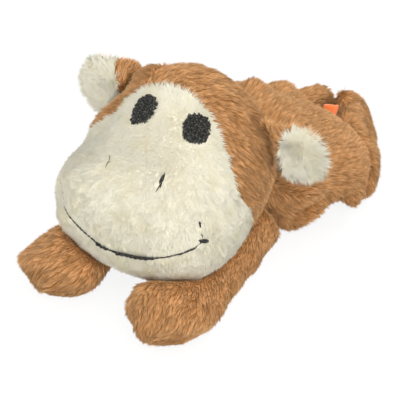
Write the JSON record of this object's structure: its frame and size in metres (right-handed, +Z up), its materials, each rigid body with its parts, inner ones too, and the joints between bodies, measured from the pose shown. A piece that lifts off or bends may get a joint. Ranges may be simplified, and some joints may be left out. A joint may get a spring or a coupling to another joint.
{
  "type": "plush monkey magnet",
  "caption": "Plush monkey lying on its belly with its arms stretched forwards, with a disc magnet sewn into each paw and foot to hold it to steel.",
  "frame": {"origin": "on the surface that the toy lies on, below the middle of its bounding box", "axes": "+Z up, -Y towards the face, +X towards the monkey's left ear"},
  "size_m": [0.0898, 0.1364, 0.0616],
  "materials": {
    "brown_pile": "matte",
    "cream_pile": "matte",
    "black_thread": "satin",
    "stuffing": "matte",
    "white_felt": "matte",
    "nickel_plate": "polished",
    "orange_ribbon": "satin"
  },
  "bodies": {
    "torso": {"back_panel": "brown_pile", "belly_panel": "brown_pile", "torso_stuffing": "stuffing"},
    "head": {"head_cover": "brown_pile", "face_panel": "cream_pile", "head_stuffing": "stuffing", "left_eye": "black_thread", "right_eye": "black_thread", "left_nostril": "black_thread", "right_nostril": "black_thread", "mouth_stitch": "black_thread"},
    "left_ear": {"left_ear_front": "cream_pile", "left_ear_back": "brown_pile"},
    "right_ear": {"right_ear_front": "cream_pile", "right_ear_back": "brown_pile"},
    "left_arm": {"left_arm_cover": "brown_pile", "left_arm_stuffing": "stuffing", "left_arm_magnet_pocket": "white_felt", "left_arm_magnet": "nickel_plate"},
    "right_arm": {"right_arm_cover": "brown_pile", "right_arm_stuffing": "stuffing", "right_arm_magnet_pocket": "white_felt", "right_arm_magnet": "nickel_plate"},
    "left_leg": {"left_leg_cover": "brown_pile", "left_leg_stuffing": "stuffing", "left_leg_magnet_pocket": "white_felt", "left_leg_magnet": "nickel_plate"},
    "right_leg": {"right_leg_cover": "brown_pile", "right_leg_stuffing": "stuffing", "right_leg_magnet_pocket": "white_felt", "right_leg_magnet": "nickel_plate"},
    "label": {"seam_label": "orange_ribbon"}
  },
  "joints": [
    {"name": "head_nod", "type": "hinge", "parent": "torso", "child": "head", "pos_m": [0, -0.00216, 0.027], "axis": [1, 0, 0], "range_deg": [-18, 0]},
    {"name": "left_ear_fold", "type": "hinge", "parent": "head", "child": "left_ear", "pos_m": [0.02034, -0.01715, 0.0433], "axis": [0, 0, 1], "range_deg": [-20, 20], "stiffness_Nm_per_rad": 0.001},
    {"name": "right_ear_fold", "type": "hinge", "parent": "head", "child": "right_ear", "pos_m": [-0.02034, -0.01715, 0.0433], "axis": [0, 0, 1], "range_deg": [-20, 20], "stiffness_Nm_per_rad": 0.001},
    {"name": "left_arm_swing", "type": "hinge", "parent": "torso", "child": "left_arm", "pos_m": [0.013, 0.00584, 0], "axis": [0, 0, 1], "range_deg": [0, 30]},
    {"name": "right_arm_swing", "type": "hinge", "parent": "torso", "child": "right_arm", "pos_m": [-0.013, 0.00584, 0], "axis": [0, 0, 1], "range_deg": [-30, 0]},
    {"name": "left_leg_swing", "type": "hinge", "parent": "torso", "child": "left_leg", "pos_m": [0.02923, 0.02666, 0], "axis": [0, 0, 1], "range_deg": [-25, 0]},
    {"name": "right_leg_swing", "type": "hinge", "parent": "torso", "child": "right_leg", "pos_m": [-0.00923, 0.03002, 0], "axis": [0, 0, 1], "range_deg": [0, 25]},
    {"name": "label_flap", "type": "hinge", "parent": "torso", "child": "label", "pos_m": [0.01122, 0.04229, 0.019], "axis": [0.9962, -0.0872, 0], "range_deg": [-10, 10], "stiffness_Nm_per_rad": 0.0001}
  ]
}
